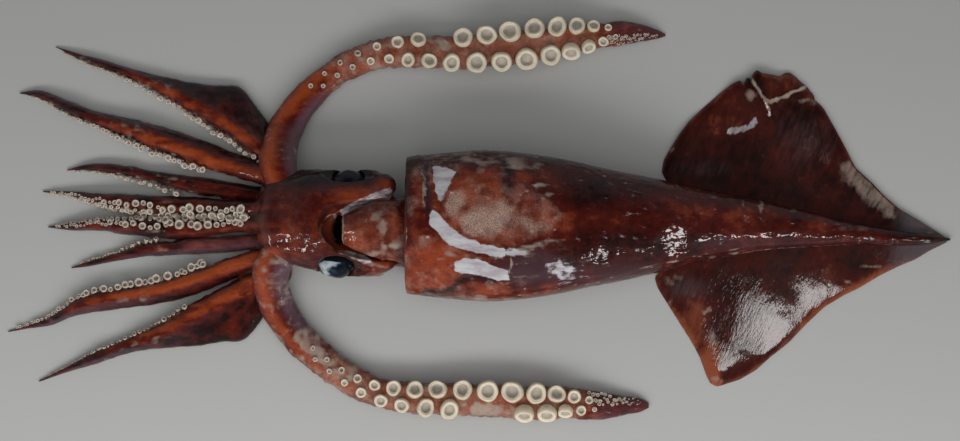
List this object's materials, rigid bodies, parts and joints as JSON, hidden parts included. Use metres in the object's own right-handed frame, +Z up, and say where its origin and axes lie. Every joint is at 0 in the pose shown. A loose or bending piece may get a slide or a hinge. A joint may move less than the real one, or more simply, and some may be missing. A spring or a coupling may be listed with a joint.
{
  "type": "whole raw squid",
  "caption": "Whole raw squid lying belly up, with a torpedo-shaped mantle, a pair of tail fins, a head with eyes and siphon, spread arms and two long feeding tentacles with ringed suckers.",
  "frame": {"origin": "the point under the middle of the body on the surface that the squid lies on", "axes": "+X along the body from the arms to the tail tip, +Y across it to the squid's own left as it lies belly up, +Z up from the surface"},
  "size_m": [0.517, 0.2257, 0.0469],
  "materials": {
    "mantle_skin": "wet, glossy red-brown skin",
    "head_skin": "wet, glossy red-brown skin",
    "funnel_skin": "wet, glossy pinkish brown skin",
    "fin_skin": "wet, glossy dark maroon skin",
    "eye_silver": "wet silvery eye with a dark pupil",
    "arm_skin": "wet, glossy orange-brown skin",
    "tentacle_skin": "wet, glossy orange-brown skin"
  },
  "bodies": {
    "root": {"mantle": "mantle_skin", "head": "head_skin", "funnel": "funnel_skin", "eye_left": "eye_silver", "eye_right": "eye_silver", "fin_left": "fin_skin", "fin_right": "fin_skin", "tentacle_left": "tentacle_skin", "tentacle_right": "tentacle_skin", "arm_left_1": "arm_skin", "arm_left_2": "arm_skin", "arm_left_3": "arm_skin", "arm_left_4": "arm_skin", "arm_right_1": "arm_skin", "arm_right_2": "arm_skin", "arm_right_3": "arm_skin", "arm_right_4": "arm_skin"}
  },
  "joints": []
}
